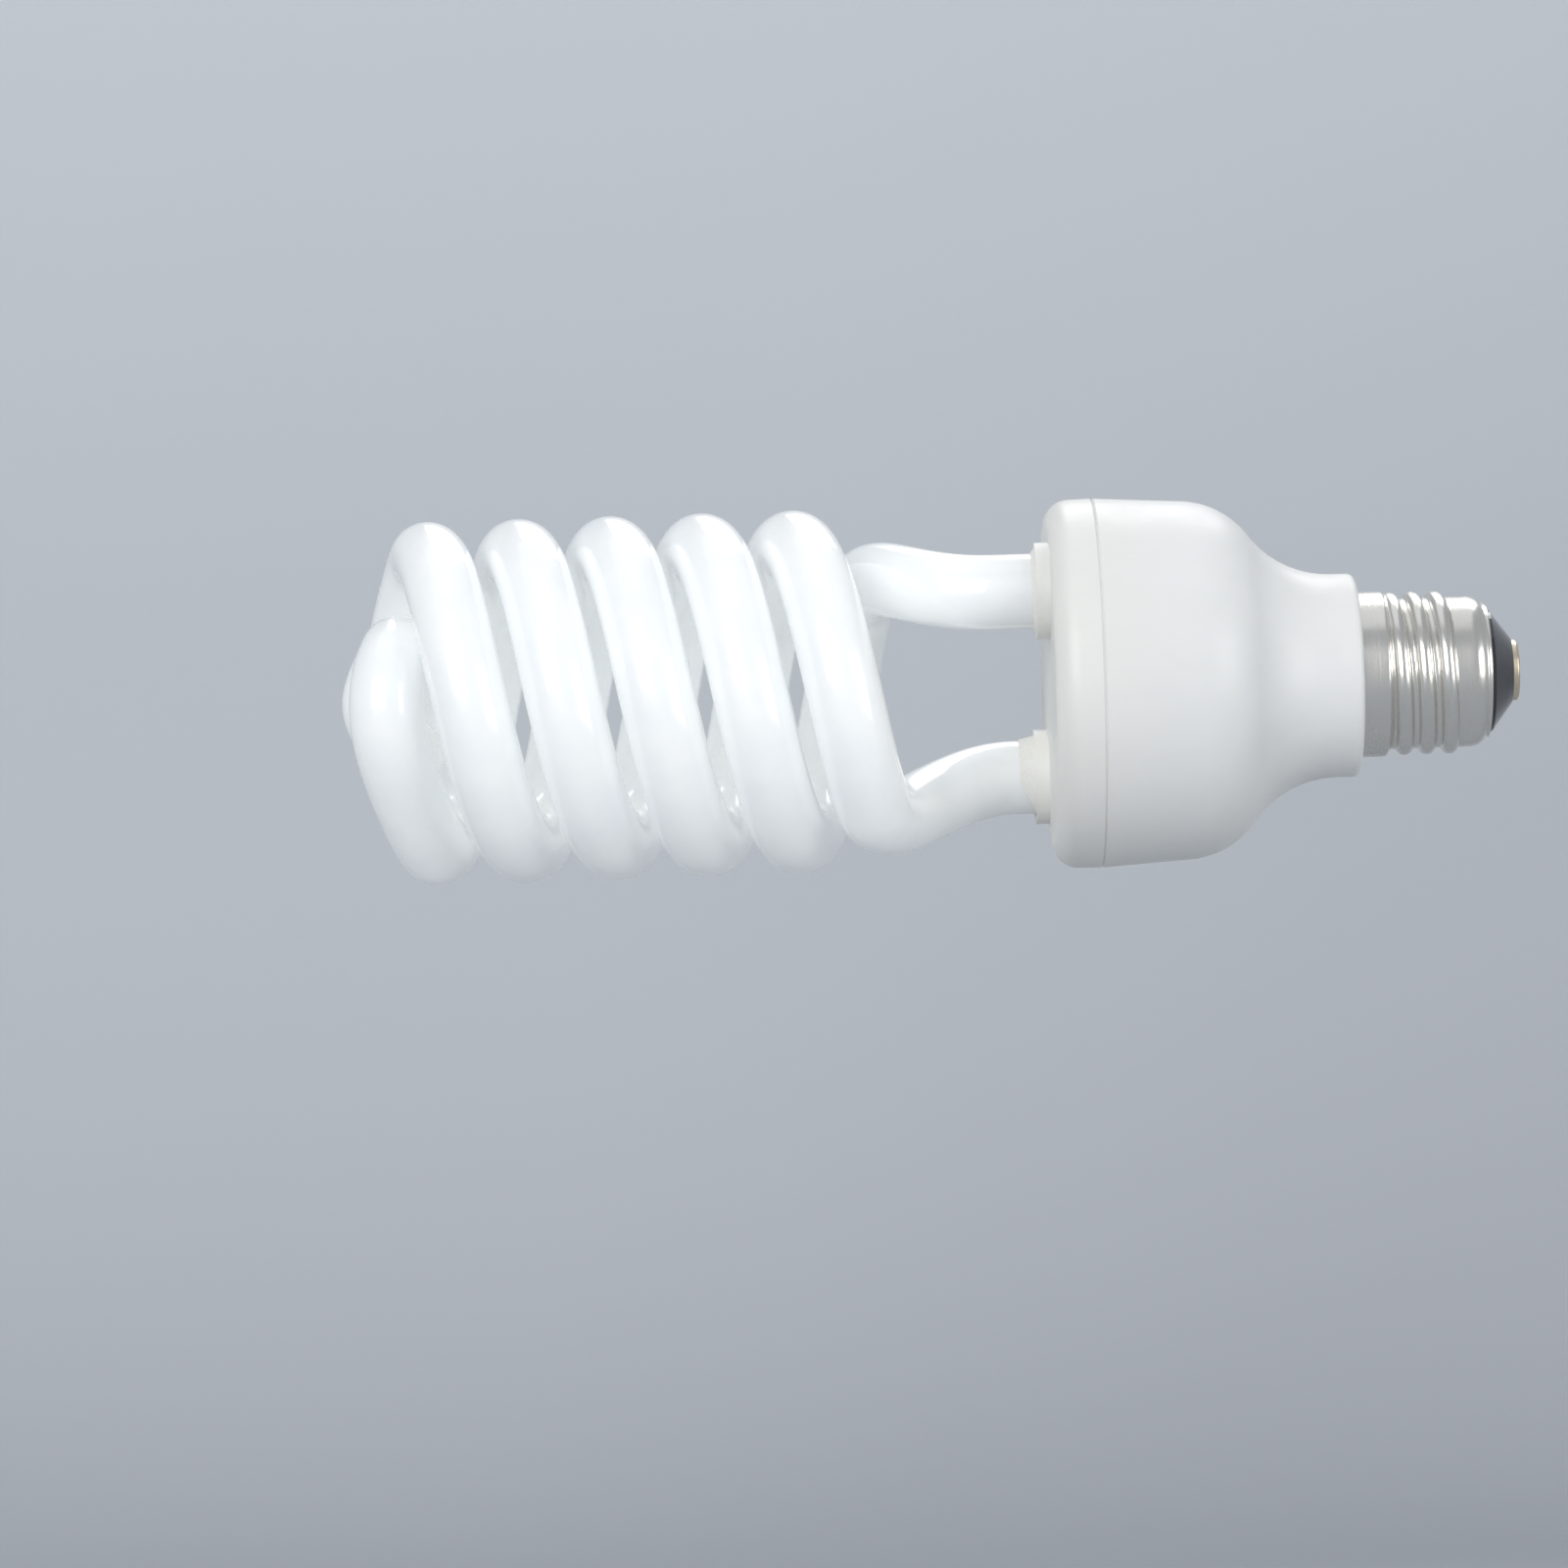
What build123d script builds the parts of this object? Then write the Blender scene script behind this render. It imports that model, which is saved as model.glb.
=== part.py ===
from build123d import *
from math import acos, cos, degrees, pi, radians, sin, sqrt, tan
import os

# Spiral compact fluorescent studio lamp with an E27 screw cap.
# Lengths are in millimetres and angles in degrees. Stations along the axis are heights above
# the end contact's face, with the lamp standing on its cap, and put_down() lays it along +X.

# Discharge tube
TUBE_D = 12.0
COIL_R = 23.4
COIL_GAP = 2.735
TIP_TO_COIL = 8.72
COIL_PHASE_ANGLE = 4.3
# The bridge starts across the axis at TIP_ANGLE. Its knees pull it round to the coil, each given
# as its reach over COIL_R, its angle on the coil and its drop from the tip over TIP_TO_COIL.
TIP_ANGLE = 185.6
TIP_HANDLE_RATIO = 0.3
BRIDGE_KNEES = (
    (0.94, 199.6, 1.83),
    (1.408, 268.7, -1.012),
    (0.836, 269.0, 0.355),
)
COIL_HANDLE_RATIO = 0.404
LEG_INSET = 4.4
LEG_ANGLE = 934.5
COIL_TO_COVER = 29.1
SEAL_TAPER = 2.4
SEAL_R = 3.4
NIPPLE_R = 1.7
NIPPLE_LENGTH = 5.0
NIPPLE_CLEAR = 3.8
# Each hand-bent leg leaves the coil at its own angle and with its own sweep.
LOWER_LEAVING_ANGLE = 857.3
LOWER_HANDLE_RATIOS = (0.4872, 0.5128)
LOWER_LEG_BEND = 5.6
UPPER_LEAVING_ANGLE = 840.6
UPPER_HANDLE_RATIOS = (0.5043, 0.6838)
UPPER_LEG_BEND = 9.1

# Cover
COVER_OVERHANG = 0.2
COVER_HEIGHT = 7.7
COVER_RIM_FILLET = 4.0
COVER_DRAFT = 1.2
COVER_WALL = 2.0
SPIGOT_WALL = 1.5
COLLAR_WALL = 1.2
COLLAR_HEIGHT = 2.2
CEMENT_GAP = 0.5
CEMENT_SLACK = 0.05
UPPER_BEAD = 0.6
LOWER_BEAD = 2.5
LOWER_BEAD_SLANT = 26.0
BEAD_SPREAD = 0.28
BEAD_EDGE = 0.1
CATCH_COUNT = 4
CATCH_WIDTH = 7.0
CATCH_HEIGHT = 2.4
CATCH_LIP = 0.6
CATCH_PROUD = 0.7
CATCH_DROP = 4.5

# Ballast housing
BODY_LENGTH = 14.5
BODY_DRAFT = 3.5
SHOULDER_R = 14.0
FLARE_R = 16.5
NECK_STEP = 3.1
NECK_LENGTH = 3.7
NECK_EDGE = 1.2
HOUSING_WALL = 2.0
SEAM_CHAMFER = 0.3
FIT_GAP = 0.15
RIB_COUNT = 6
RIB_THICKNESS = 1.6
RIB_DEPTH = 3.2
CAP_SPIGOT_LENGTH = 4.0
CAP_SPIGOT_WALL = 1.4
SEAT_GAP = 0.1

# E27 cap
THREAD_D = 26.3
THREAD_PITCH = 3.629
THREAD_DEPTH = 1.05
THREAD_FOOT = 2.9
THREAD_TURNS = 3.3
SKIRT_STEP = 0.15
SKIRT_LENGTH = 4.1
SHELL_BARREL = 16.8
SHELL_CURVE = 3.0
SHELL_THICKNESS = 0.4
INSULATOR_HEIGHT = 4.0
INSULATOR_TOP_D = 10.8
INSULATOR_FLANGE = 0.7
INSULATOR_PLUG = 1.6
CONTACT_D = 9.8
CONTACT_THICKNESS = 1.1
CONTACT_EDGE = 0.5
RIVET_D = 2.8
RIVET_GAP = 0.1

# Ballast board and what hangs from its cap side. The parts are drawn for a board of BOARD_PLAN_R,
# and a lamp of another size carries them scaled to its board. Places are (x, y) on the board.
BOARD_PLAN_R = 26.9
BOARD_THICKNESS = 1.6
BOARD_LIFT = 1.4
CAPACITOR_D = 12.5
CAPACITOR_LENGTH = 20.0
CAPACITOR_GROOVE = 0.5
CAPACITOR_AT = (5.2, 0.0)
CHOKE_AT = (-9.5, 0.0)
CORE_LENGTH = 18.0
CORE_DEPTH = 6.0
CORE_HEIGHT = 12.0
CORE_LEG = 3.0
CORE_YOKE = 2.5
BOBBIN_WALL = 0.6
BOBBIN_LIP = 0.5
WINDING_THICKNESS = 2.0
TOROID_AT = (17.4, 0.0)
TOROID_D = 9.0
TOROID_BORE = 5.0
TOROID_HEIGHT = 4.0
WRAP_COUNT = 3
WRAP_ANGLE = 44.0
WRAP_THICKNESS = 0.45
TRANSISTOR_AT = (7.5, 12.2)
TRANSISTOR_SIZE = (8.0, 3.2, 8.5)
TRANSISTOR_LEG = 2.0
TRANSISTOR_LEG_STEP = 2.3
FILM_AT = (-6.0, 14.2)
FILM_SIZE = (12.0, 4.6, 9.0)
FILM_EDGE = 1.5
RESONANT_AT = (14.9, 13.4)
RESONANT_SIZE = (6.0, 4.0, 7.0)
RESONANT_EDGE = 1.3
DIODE_D = 2.7
DIODE_LENGTH = 5.2
DIODE_AT = ((-19.8, 4.4), (-23.0, 4.4))
FUSE_AT = (16.2, -11.0)
FUSE_D = 4.0
FUSE_LENGTH = 7.0
THERMISTOR_AT = (2.0, 19.8)
THERMISTOR_D = 8.0
THERMISTOR_THICKNESS = 3.6
INDUCTOR_AT = (3.4, -19.4)
INDUCTOR_D = 6.6
INDUCTOR_HEIGHT = 8.0
INDUCTOR_EDGE = 0.6
LEAD_D = 0.7
LEAD_RISE = 1.0

# Wiring between the board, the tube and the cap
PIN_SIZE = 1.0
PIN_BELOW_NIPPLE = 0.2
FILAMENT_SPREAD = 2.2
SUPPLY_WIRE_D = 1.3
SUPPLY_WIRE_SIDE = 1.0
SUPPLY_WIRE_CLEAR = 0.75
WIRE_BEND = 5.0

# How far a cut runs past the face it opens
CUT_PAST = 1.0

# Radii that follow from the sizes above
tube_r = TUBE_D / 2
strand_pitch = 2 * (TUBE_D + COIL_GAP)
leg_r = COIL_R - LEG_INSET
cover_r = COIL_R + tube_r + COVER_OVERHANG
collar_r = tube_r + CEMENT_GAP + COLLAR_WALL
seam_r = cover_r + COVER_HEIGHT * tan(radians(COVER_DRAFT))
shoulder_top_r = seam_r - BODY_LENGTH * tan(radians(BODY_DRAFT))
skirt_r = THREAD_D / 2 + SKIRT_STEP
root_r = THREAD_D / 2 - THREAD_DEPTH
rim_r = root_r - SHELL_CURVE
neck_r = skirt_r + NECK_STEP
cap_spigot_r = skirt_r - SHELL_THICKNESS - SEAT_GAP
cap_spigot_bore = cap_spigot_r - CAP_SPIGOT_WALL

# The flare's angle where its arc meets the shoulder's
shoulder_drop = shoulder_top_r - neck_r
flare_cos = (SHOULDER_R * cos(radians(BODY_DRAFT)) + FLARE_R - shoulder_drop) / (SHOULDER_R + FLARE_R)
flare_angle = degrees(acos(flare_cos))
flare_sin = sin(radians(flare_angle))

# Stations, from the cap up
shell_rim = CONTACT_THICKNESS + INSULATOR_HEIGHT
root_foot = shell_rim + SHELL_CURVE
skirt_foot = shell_rim + SHELL_BARREL
cap_top = skirt_foot + SKIRT_LENGTH
flare_foot = cap_top + NECK_LENGTH
flare_top = flare_foot + FLARE_R * flare_sin
shoulder_top = flare_top + SHOULDER_R * (flare_sin - sin(radians(BODY_DRAFT)))
board_seat = shoulder_top + BOARD_LIFT
board_top = board_seat + BOARD_THICKNESS
nipple_end = board_top + NIPPLE_CLEAR
seal_end = nipple_end + NIPPLE_LENGTH
leg_foot = seal_end + SEAL_TAPER
seam = shoulder_top + BODY_LENGTH
cover_face = seam + COVER_HEIGHT
cover_under = cover_face - COVER_WALL
tip = cover_face + COIL_TO_COVER + strand_pitch * LOWER_LEAVING_ANGLE / 360 + TIP_TO_COIL

# The bore that the cover's spigot and the board fit into
bore_r = seam_r - (seam - board_top) * tan(radians(BODY_DRAFT)) - HOUSING_WALL + FIT_GAP
spigot_r = bore_r - FIT_GAP
board_r = bore_r - 2 * FIT_GAP
board_scale = board_r / BOARD_PLAN_R


def put_down(solid):
    """Lays the standing lamp along the row's +X, base at the origin, with local x turned to +Z."""
    return Plane(origin=(0, 0, 0), x_dir=(0, 0, 1), z_dir=(-1, 0, 0)).location * solid


def save(solid, name):
    """Writes one node of the lamp, laid down in its place."""
    export_step(put_down(solid), "parts/" + name + ".step")


def save_on_board(solid, name):
    """Writes a part that was drawn under a board of the plan size with its face at height zero."""
    save(Pos(0, 0, board_seat) * solid.scale(board_scale), name)


def turned(*edges):
    """The solid that a closed outline in the half plane (radius, height) makes round the axis."""
    chain = [edge for piece in edges for edge in piece.edges()]
    return revolve(make_face(Wire(chain)), Axis.Z)


def outline(points):
    """The closed chain of lines through (radius, height) points."""
    corners = [(r, 0, z) for r, z in points]
    return Polyline(*corners, close=True)


def lathe(points):
    """A turned solid with straight sides only."""
    return revolve(make_face(outline(points)), Axis.Z)


def upright(radius, low, high, at=(0, 0)):
    """A round bar that stands along the axis between two heights."""
    return Pos(at[0], at[1], low) * Cylinder(radius, high - low, align=(Align.CENTER, Align.CENTER, Align.MIN))


def block(size, at, low):
    """A box centred on a place, standing on a height."""
    return Pos(at[0], at[1], low) * Box(*size, align=(Align.CENTER, Align.CENTER, Align.MIN))


def hung(size, at, drop=0):
    """A box under the board's face, centred on a place, a drop below the face."""
    return Pos(at[0], at[1], -drop) * Box(*size, align=(Align.CENTER, Align.CENTER, Align.MAX))


def bent_bar(radius, *points):
    """A round bar along the smooth bend from the first point to the last, pulled by those between."""
    path = Bezier(*points)
    section = Plane(origin=path @ 0, z_dir=path % 0) * Circle(radius)
    return sweep(section, path=path)


def round_coil(reach, angle, drop):
    """A point at a reach and an angle round the coil's axis, dropped from the tip."""
    turn = radians(angle + COIL_PHASE_ANGLE)
    return Vector(reach * cos(turn), -reach * sin(turn), tip - drop)


def tube_strand(leaving_angle, handle_ratios, bend):
    """Half of the tube: from the tip over the bridge, down the coil and along one leg."""
    rise = strand_pitch * leaving_angle / 360
    coil_foot = tip - TIP_TO_COIL - rise
    place = Pos(0, 0, coil_foot) * Rot(0, 0, -(leaving_angle + COIL_PHASE_ANGLE))
    helix = place * Edge.make_helix(strand_pitch, rise, COIL_R)
    foot, foot_way = helix @ 0, helix % 0
    head, head_way = helix @ 1, helix % 1
    coil = sweep(Plane(origin=foot, z_dir=foot_way) * Circle(tube_r), path=helix, is_frenet=True)
    coil_handle = head + head_way * COIL_R * COIL_HANDLE_RATIO
    tip_handle = round_coil(COIL_R * TIP_HANDLE_RATIO, TIP_ANGLE, 0)
    knees = [round_coil(COIL_R * reach, angle, TIP_TO_COIL * drop) for reach, angle, drop in BRIDGE_KNEES]
    peak = Vector(0, 0, tip)
    bridge = bent_bar(tube_r, peak, tip_handle, *knees, coil_handle, head)
    leg_x, leg_y = leg_place(0)
    elbow = Vector(leg_x, leg_y, cover_face + bend)
    down = Vector(0, 0, -1)
    foot_handle = foot - foot_way * COIL_R * handle_ratios[0]
    elbow_handle = elbow - down * COIL_R * handle_ratios[1]
    sweep_out = bent_bar(tube_r, foot, foot_handle, elbow_handle, elbow)
    leg = Pos(leg_x, leg_y, 0) * lathe([
        (0, elbow.Z),
        (tube_r, elbow.Z),
        (tube_r, leg_foot),
        (SEAL_R, seal_end),
        (NIPPLE_R, seal_end),
        (NIPPLE_R, nipple_end + NIPPLE_R),
        (0, nipple_end),
    ])
    return coil + bridge + sweep_out + leg


def leg_place(index):
    """Where leg 0, the lower one, or leg 1, the upper one, passes through the cover."""
    turn = radians(LEG_ANGLE + COIL_PHASE_ANGLE + 180 * index)
    return leg_r * cos(turn), -leg_r * sin(turn)


def discharge_tube():
    """One glass tube: two interleaved strands, joined by the S-shaped bridge at the tip."""
    lower = tube_strand(LOWER_LEAVING_ANGLE, LOWER_HANDLE_RATIOS, LOWER_LEG_BEND)
    upper = tube_strand(UPPER_LEAVING_ANGLE, UPPER_HANDLE_RATIOS, UPPER_LEG_BEND)
    return lower + Rot(0, 0, 180) * upper


def cover():
    """The plate that holds the tube: a rounded rim, two collars, and a spigot that snaps in."""
    rim_low = cover_face - COVER_RIM_FILLET
    rim_low_r = cover_r + COVER_RIM_FILLET * tan(radians(COVER_DRAFT))
    flat_r = rim_low_r - COVER_RIM_FILLET
    bend = Vector(flat_r + COVER_RIM_FILLET * sin(pi / 4), 0, rim_low + COVER_RIM_FILLET * cos(pi / 4))
    inner_r = spigot_r - SPIGOT_WALL
    shell = turned(
        Line((0, 0, cover_face), (flat_r, 0, cover_face)),
        ThreePointArc((flat_r, 0, cover_face), bend, (rim_low_r, 0, rim_low)),
        Polyline(
            (rim_low_r, 0, rim_low),
            (seam_r, 0, seam + SEAM_CHAMFER),
            (seam_r - SEAM_CHAMFER, 0, seam),
            (spigot_r, 0, seam),
            (spigot_r, 0, board_top),
            (inner_r, 0, board_top),
            (inner_r, 0, cover_under),
            (0, 0, cover_under),
            (0, 0, cover_face),
        ),
    )
    collar_top = cover_face + COLLAR_HEIGHT
    for index in range(2):
        shell += upright(collar_r, cover_under, collar_top, leg_place(index))
    for index in range(2):
        shell -= upright(tube_r + CEMENT_GAP, cover_under - CUT_PAST, collar_top + CUT_PAST, leg_place(index))
    for index in range(CATCH_COUNT):
        shell += Rot(0, 0, 360 * (index + 0.5) / CATCH_COUNT) * catch_wedge()
    return shell


def catch_wedge():
    """One snap hook on the spigot: square above, sloping below so that it rides in."""
    foot = spigot_r - SPIGOT_WALL / 2
    high = seam - CATCH_DROP
    section = Polyline(
        (foot, 0, high),
        (spigot_r + CATCH_PROUD, 0, high),
        (spigot_r + CATCH_PROUD, 0, high - CATCH_LIP),
        (foot, 0, high - CATCH_HEIGHT),
        close=True,
    )
    return extrude(make_face(section), amount=CATCH_WIDTH / 2, both=True, dir=(0, 1, 0))


def catch_pocket():
    """The recess in the housing's bore that one snap hook drops into."""
    deep = spigot_r + CATCH_PROUD + FIT_GAP
    size = (deep - bore_r + CUT_PAST, CATCH_WIDTH + 4 * FIT_GAP, CATCH_HEIGHT + 2 * FIT_GAP)
    return block(size, (deep - size[0] / 2, 0), seam - CATCH_DROP - CATCH_HEIGHT - FIT_GAP)


def leg_cement(index, bead):
    """The ring of cement that fills one collar, with a bead outside it."""
    inner = tube_r + CEMENT_SLACK
    outer = tube_r + CEMENT_GAP - CEMENT_SLACK
    mouth = cover_face + COLLAR_HEIGHT
    brim = outer + (collar_r - outer) * BEAD_SPREAD
    return Pos(*leg_place(index), 0) * lathe([
        (inner, mouth + bead),
        (inner, cover_under),
        (outer, cover_under),
        (outer, mouth),
        (brim, mouth),
        (inner + BEAD_EDGE, mouth + bead),
    ])


def lower_leg_cement():
    """The longer bead on the lower leg, which thins out toward the leg's lower side."""
    ring = leg_cement(0, LOWER_BEAD)
    x, y = leg_place(0)
    slant = Pos(x - tube_r, y, cover_face + COLLAR_HEIGHT) * Rot(0, -LOWER_BEAD_SLANT, 0)
    knife = Box(4 * collar_r, 4 * collar_r, 2 * collar_r, align=(Align.CENTER, Align.CENTER, Align.MIN))
    return ring - slant * knife


def flare_edges(inset):
    """The housing's flare and shoulder, moved inward by a wall, as two tangent arcs."""
    hollow_r = FLARE_R + inset
    round_r = SHOULDER_R - inset
    hollow_at = Vector(neck_r + FLARE_R, 0, flare_foot)
    round_at = Vector(
        shoulder_top_r - SHOULDER_R * cos(radians(BODY_DRAFT)),
        0,
        shoulder_top + SHOULDER_R * sin(radians(BODY_DRAFT)),
    )

    def hollow(angle):
        return hollow_at + Vector(-cos(radians(angle)), 0, sin(radians(angle))) * hollow_r

    def crown(angle):
        return round_at + Vector(cos(radians(angle)), 0, -sin(radians(angle))) * round_r

    flare = ThreePointArc(hollow(0), hollow(flare_angle / 2), hollow(flare_angle))
    middle = (flare_angle + BODY_DRAFT) / 2
    shoulder = ThreePointArc(hollow(flare_angle), crown(middle), crown(BODY_DRAFT))
    return flare, shoulder


def housing_envelope():
    """The housing's outside as a full solid, from the neck's end to the seam."""
    flare, shoulder = flare_edges(0)
    edge_low = neck_r - NECK_EDGE
    edge_mid = Vector(edge_low + NECK_EDGE * sin(pi / 4), 0, cap_top + NECK_EDGE * (1 - cos(pi / 4)))
    return turned(
        Polyline((0, 0, seam), (0, 0, cap_top), (edge_low, 0, cap_top)),
        ThreePointArc((edge_low, 0, cap_top), edge_mid, (neck_r, 0, cap_top + NECK_EDGE)),
        Line((neck_r, 0, cap_top + NECK_EDGE), flare @ 0),
        flare,
        shoulder,
        Polyline(
            shoulder @ 1,
            (seam_r - SEAM_CHAMFER * tan(radians(BODY_DRAFT)), 0, seam - SEAM_CHAMFER),
            (seam_r - SEAM_CHAMFER, 0, seam),
            (0, 0, seam),
        ),
    )


def ballast_housing():
    """The flared shell: neck, board ribs, snap pockets and the spigot that the cap is crimped on."""
    envelope = housing_envelope()
    flare, shoulder = flare_edges(HOUSING_WALL)
    hollow_top = shoulder @ 1
    floor = cap_top + HOUSING_WALL
    throat_r = neck_r - HOUSING_WALL
    seat_r = hollow_top.X + (board_seat - hollow_top.Z) * tan(radians(BODY_DRAFT))
    cavity = turned(
        Polyline((0, 0, seam), (0, 0, floor), (throat_r, 0, floor), flare @ 0),
        flare,
        shoulder,
        Polyline(
            hollow_top,
            (seat_r, 0, board_seat),
            (bore_r, 0, board_seat),
            (bore_r, 0, seam),
            (0, 0, seam),
        ),
    )
    rib_place = (bore_r - RIB_DEPTH + seam_r) / 2
    rib_size = (seam_r - bore_r + RIB_DEPTH, RIB_THICKNESS, board_seat - flare_top)
    rib = block(rib_size, (rib_place, 0), flare_top) & envelope
    spigot_end = cap_top - CAP_SPIGOT_LENGTH
    shell = envelope - cavity
    for index in range(RIB_COUNT):
        shell += Rot(0, 0, 360 * index / RIB_COUNT) * rib
    for index in range(CATCH_COUNT):
        shell -= Rot(0, 0, 360 * (index + 0.5) / CATCH_COUNT) * catch_pocket()
    shell += upright(cap_spigot_r, spigot_end, cap_top)
    shell -= upright(cap_spigot_bore, spigot_end - CUT_PAST, floor + CUT_PAST)
    return shell


def screw_shell():
    """The rolled cap: a plain skirt, the rounded helical thread and the turned-in rim."""
    inner_skirt = skirt_r - SHELL_THICKNESS
    inner_root = root_r - SHELL_THICKNESS
    inner_curve = SHELL_CURVE - SHELL_THICKNESS
    step = skirt_r - root_r
    barrel = turned(
        Polyline(
            (inner_root, 0, root_foot),
            (inner_root, 0, skirt_foot - step),
            (inner_skirt, 0, skirt_foot),
            (inner_skirt, 0, cap_top),
            (skirt_r, 0, cap_top),
            (skirt_r, 0, skirt_foot),
            (root_r, 0, skirt_foot - step),
            (root_r, 0, root_foot),
        ),
        ThreePointArc(
            (root_r, 0, root_foot),
            (rim_r + SHELL_CURVE * sin(pi / 4), 0, root_foot - SHELL_CURVE * sin(pi / 4)),
            (rim_r, 0, shell_rim),
        ),
        Line((rim_r, 0, shell_rim), (rim_r, 0, shell_rim + SHELL_THICKNESS)),
        ThreePointArc(
            (rim_r, 0, shell_rim + SHELL_THICKNESS),
            (rim_r + inner_curve * sin(pi / 4), 0, root_foot - inner_curve * sin(pi / 4)),
            (inner_root, 0, root_foot),
        ),
    )
    return barrel + thread_ridge()


def thread_ridge():
    """The rounded crest of the thread, wound right-handed up the barrel."""
    sunk_r = root_r - SHELL_THICKNESS / 2
    crest_r = root_r + THREAD_DEPTH
    half = THREAD_FOOT / 2
    low = root_foot + half
    helix = Pos(0, 0, low) * Edge.make_helix(THREAD_PITCH, THREAD_PITCH * THREAD_TURNS, root_r)
    arc = ThreePointArc((sunk_r, 0, low - half), (crest_r, 0, low), (sunk_r, 0, low + half))
    section = make_face(Wire([arc, Line(arc @ 1, arc @ 0)]))
    return sweep(section, path=helix, is_frenet=True)


def insulator():
    """The glass cone between the shell's rim and the end contact."""
    hole_r = RIVET_D / 2 + RIVET_GAP
    plug_r = rim_r - SEAT_GAP
    return lathe([
        (hole_r, CONTACT_THICKNESS),
        (INSULATOR_TOP_D / 2, CONTACT_THICKNESS),
        (rim_r + INSULATOR_FLANGE, shell_rim - INSULATOR_FLANGE),
        (rim_r + INSULATOR_FLANGE, shell_rim),
        (plug_r, shell_rim),
        (plug_r, shell_rim + INSULATOR_PLUG),
        (hole_r, shell_rim + INSULATOR_PLUG),
    ])


def end_contact():
    """The rounded contact button with the rivet that passes through the glass."""
    button = upright(CONTACT_D / 2, 0, CONTACT_THICKNESS)
    button = fillet(button.edges().group_by(Axis.Z)[0], CONTACT_EDGE)
    return button + upright(RIVET_D / 2, CONTACT_THICKNESS, shell_rim + INSULATOR_PLUG)


def circuit_board():
    """The round board, which rests on the housing's ribs and is held there by the cover's spigot."""
    return upright(board_r, board_seat, board_top)


def smoothing_capacitor():
    """The tall electrolytic capacitor: a can with a rolled groove near its seal."""
    radius = CAPACITOR_D / 2
    groove = CAPACITOR_GROOVE
    return Pos(*CAPACITOR_AT, 0) * lathe([
        (0, 0),
        (radius - groove, 0),
        (radius, -groove),
        (radius, -3 * groove),
        (radius - groove, -4 * groove),
        (radius, -5 * groove),
        (radius, groove - CAPACITOR_LENGTH),
        (radius - groove, -CAPACITOR_LENGTH),
        (0, -CAPACITOR_LENGTH),
    ])


def choke_core():
    """The ferrite: two E halves with a middle leg through the bobbin."""
    core = hung((CORE_DEPTH, CORE_LENGTH, CORE_HEIGHT), CHOKE_AT)
    reach = CORE_LENGTH / 2 - 2 * CORE_LEG
    window = (CORE_DEPTH + CUT_PAST, reach, CORE_HEIGHT - 2 * CORE_YOKE)
    for side in (-1, 1):
        at = (CHOKE_AT[0], CHOKE_AT[1] + side * (CORE_LEG + reach / 2))
        core -= hung(window, at, CORE_YOKE)
    return core


def choke_bobbin():
    """The plastic former round the middle leg, with a flange at each end."""
    hub = (CORE_DEPTH + 2 * SEAT_GAP, 2 * CORE_LEG + 2 * SEAT_GAP)
    wall = (hub[0] + 2 * BOBBIN_WALL, hub[1] + 2 * BOBBIN_WALL)
    flange_depth = wall[0] + 2 * WINDING_THICKNESS + 2 * BOBBIN_LIP
    flange = (flange_depth, CORE_LENGTH - 2 * CORE_LEG - 2 * SEAT_GAP, BOBBIN_WALL)
    drop = CORE_YOKE + SEAT_GAP
    height = CORE_HEIGHT - 2 * drop
    former = hung((wall[0], wall[1], height), CHOKE_AT, drop)
    former += hung(flange, CHOKE_AT, drop)
    former += hung(flange, CHOKE_AT, drop + height - BOBBIN_WALL)
    return former - hung((hub[0], hub[1], CORE_HEIGHT), CHOKE_AT)


def choke_winding():
    """The copper on the bobbin, filled out between the two flanges."""
    gaps = 4 * SEAT_GAP + 2 * BOBBIN_WALL
    hub = (CORE_DEPTH + gaps, 2 * CORE_LEG + gaps)
    drop = CORE_YOKE + BOBBIN_WALL + 2 * SEAT_GAP
    size = (hub[0] + 2 * WINDING_THICKNESS, CORE_LENGTH - 2 * CORE_LEG - 4 * SEAT_GAP, CORE_HEIGHT - 2 * drop)
    coil = hung(size, CHOKE_AT, drop)
    coil = fillet(coil.edges().filter_by(Axis.Z), WINDING_THICKNESS / 2)
    return coil - hung((hub[0], hub[1], CORE_HEIGHT), CHOKE_AT)


def driver_toroid():
    """The small ferrite ring that drives the two transistors."""
    top = -WRAP_THICKNESS - SEAT_GAP
    foot = top - TOROID_HEIGHT
    ring = upright(TOROID_D / 2, foot, top, TOROID_AT)
    return ring - upright(TOROID_BORE / 2, foot - CUT_PAST, top + CUT_PAST, TOROID_AT)


def toroid_windings():
    """The short windings, each wrapped over the ring's section."""
    outer = TOROID_D / 2 + SEAT_GAP
    inner = TOROID_BORE / 2 - SEAT_GAP
    high = TOROID_HEIGHT + 2 * SEAT_GAP
    wraps = []
    for index in range(WRAP_COUNT):
        wrap = ring_sector(inner - WRAP_THICKNESS, outer + WRAP_THICKNESS, high + 2 * WRAP_THICKNESS, 0, WRAP_ANGLE)
        wrap -= ring_sector(inner, outer, high, WRAP_THICKNESS, 2 * WRAP_ANGLE)
        wraps.append(Pos(*TOROID_AT, 0) * Rot(0, 0, 360 * index / WRAP_COUNT) * wrap)
    return Compound(wraps)


def ring_sector(inner, outer, high, drop, angle):
    """A ring's sector of rectangular section, hanging from height zero less a drop."""
    section = outline([(inner, -drop), (outer, -drop), (outer, -drop - high), (inner, -drop - high)])
    return Rot(0, 0, -angle / 2) * revolve(make_face(section), Axis.Z, angle)


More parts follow.
